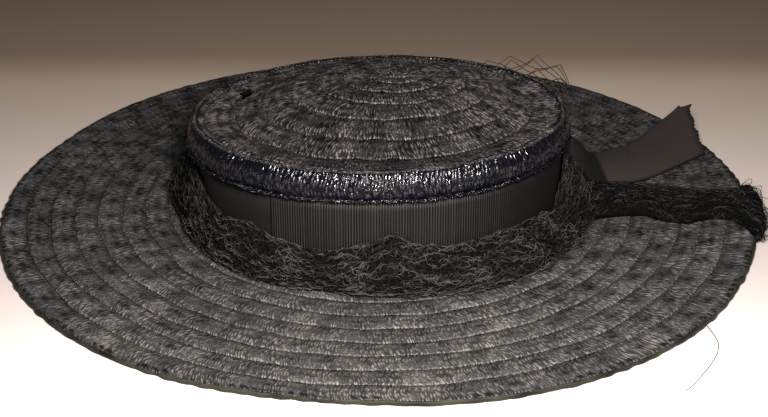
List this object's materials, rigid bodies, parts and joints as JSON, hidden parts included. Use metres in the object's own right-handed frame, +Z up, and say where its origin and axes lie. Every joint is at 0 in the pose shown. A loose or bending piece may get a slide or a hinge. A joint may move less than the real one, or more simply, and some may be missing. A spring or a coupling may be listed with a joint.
{
  "type": "boater hat",
  "caption": "Wide black boater of sewn straw braid with a domed tip, a ribbed ribbon band, a gathered net round the foot of the crown and a loose ribbon end.",
  "frame": {"origin": "middle of the outer box, on the surface that the hat rests on", "axes": "+Z up through the crown, -Y to the side nearest the camera in the picture, +X to the side where the net and ribbon ends leave, the right of the picture"},
  "size_m": [0.3914, 0.3858, 0.0731],
  "materials": {
    "crown_straw": "glossy sewn straw braid, black",
    "brim_straw": "sewn straw braid, faded black",
    "band_ribbon": "matt ribbed grosgrain, black",
    "net_gathered": "matt gathered net, black",
    "net_bundle": "matt gathered net, black",
    "net_open": "matt open net, black",
    "ribbon_end": "matt ribbed grosgrain, faded black"
  },
  "bodies": {
    "root": {"crown": "crown_straw", "brim": "brim_straw", "band": "band_ribbon", "net_wrap": "net_gathered", "net_tail": "net_bundle", "net_crest": "net_open", "ribbon_tail": "ribbon_end"}
  },
  "joints": []
}
